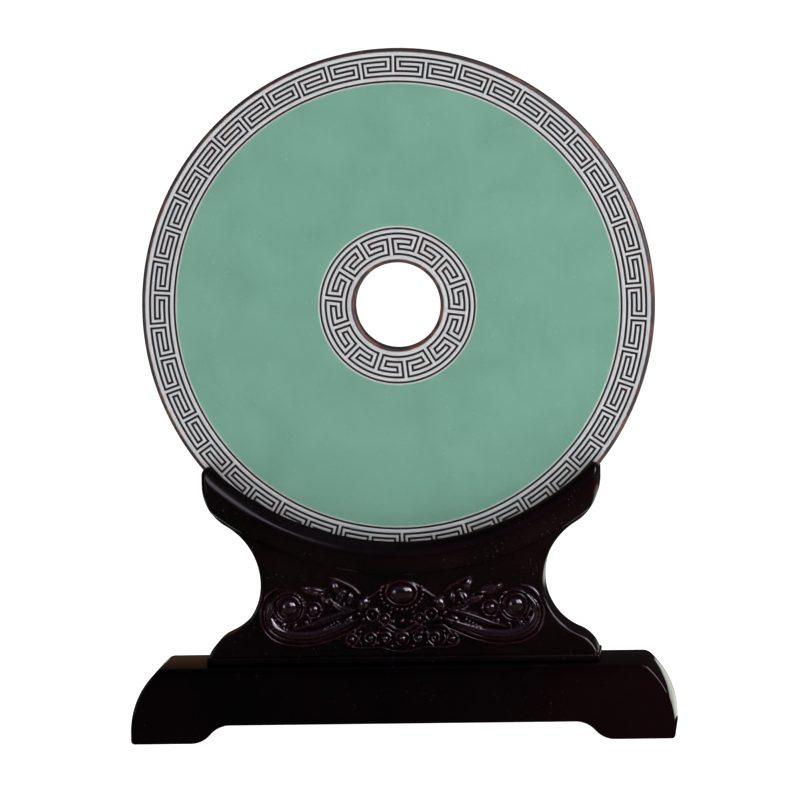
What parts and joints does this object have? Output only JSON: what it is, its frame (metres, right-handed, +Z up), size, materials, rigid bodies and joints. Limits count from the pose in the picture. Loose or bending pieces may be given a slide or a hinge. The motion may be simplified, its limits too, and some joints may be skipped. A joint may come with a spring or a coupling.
{
  "type": "bi disc on a carved stand",
  "caption": "Round bi disc with a centre hole and two fret borders, upright in the groove of a carved, waisted lacquered wood stand on a long footed base.",
  "frame": {"origin": "on the ground, under the middle of the base board", "axes": "+Z up, +Y towards the back, +X to the right as seen from the front, so the disc's face and the relief look along -Y"},
  "size_m": [0.3176, 0.078, 0.4026],
  "materials": {
    "disc_glaze": "satin celadon glaze with near-white fret ridges between dark lines and a dark brown rim",
    "panel_lacquer": "high-gloss near-black red-brown lacquer",
    "base_lacquer": "high-gloss near-black red-brown lacquer"
  },
  "bodies": {
    "root": {"bi_disc": "disc_glaze", "cradle_panel": "panel_lacquer", "base_board": "base_lacquer"}
  },
  "joints": []
}
